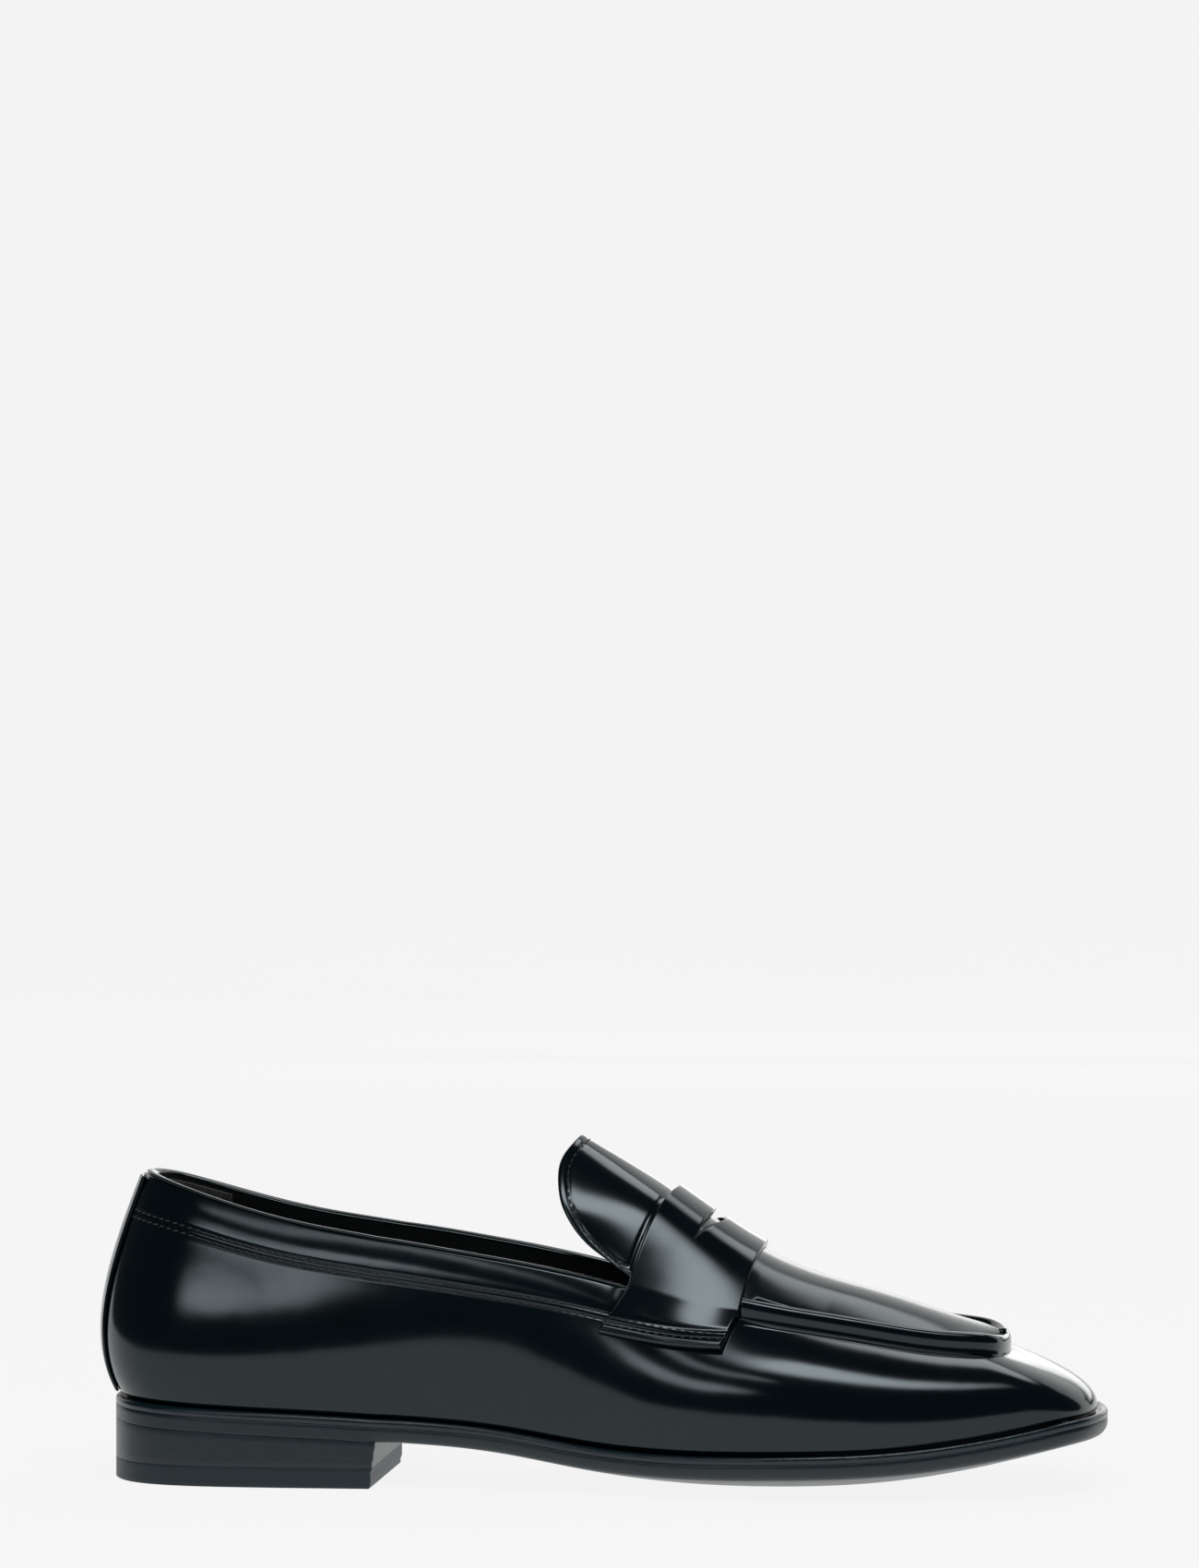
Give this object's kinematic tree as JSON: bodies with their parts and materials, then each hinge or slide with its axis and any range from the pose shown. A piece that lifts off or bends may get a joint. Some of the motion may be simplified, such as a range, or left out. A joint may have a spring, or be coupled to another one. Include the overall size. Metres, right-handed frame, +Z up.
{
  "type": "penny loafer",
  "caption": "Square-toed slip-on leather loafer with a slotted saddle strap, raised apron seam, lifting tongue and a low block heel; right foot.",
  "frame": {"origin": "on the ground under the middle of the shoe's box", "axes": "+X from the heel to the toe, +Z up, +Y towards the inner side of the right foot"},
  "size_m": [0.3014, 0.0998, 0.1026],
  "materials": {
    "upper": "high-shine polished black calf leather",
    "lining": "matt black lining leather",
    "suede": "dark suede",
    "stiffener": "fibre board",
    "sole": "black waxed sole leather",
    "welt": "black waxed welt leather",
    "heel": "black waxed stacked leather",
    "rubber": "satin black rubber",
    "cork": "granulated cork",
    "board": "cellulose insole board",
    "pad": "matt black covered foam",
    "steel": "plain steel",
    "brass": "bright"
  },
  "bodies": {
    "shoe": {"outsole": "sole", "welt": "welt", "heel_block": "heel", "heel_top_piece": "rubber", "heel_nails": "steel", "top_piece_brads": "brass", "cork_filler": "cork", "shank": "steel", "insole_board": "board", "heel_pad": "pad", "sock_lining": "lining", "skirt": "upper", "heel_counter": "stiffener", "toe_puff": "stiffener", "quarter_lining": "lining", "vamp_lining": "lining", "plug_lining": "lining", "heel_grip": "suede", "backstay": "upper", "plug": "upper", "apron_ridge": "upper", "topline_binding": "upper", "saddle_strap": "upper", "strap_backing": "lining"},
    "tongue": {"tongue": "upper", "tongue_lining": "lining"}
  },
  "joints": [
    {"name": "tongue_hinge", "type": "hinge", "parent": "shoe", "child": "tongue", "pos_m": [0.0222, 0.0008, 0.0856], "axis": [0, 1, 0], "range_deg": [0, 35], "stiffness_Nm_per_rad": 0.06}
  ]
}
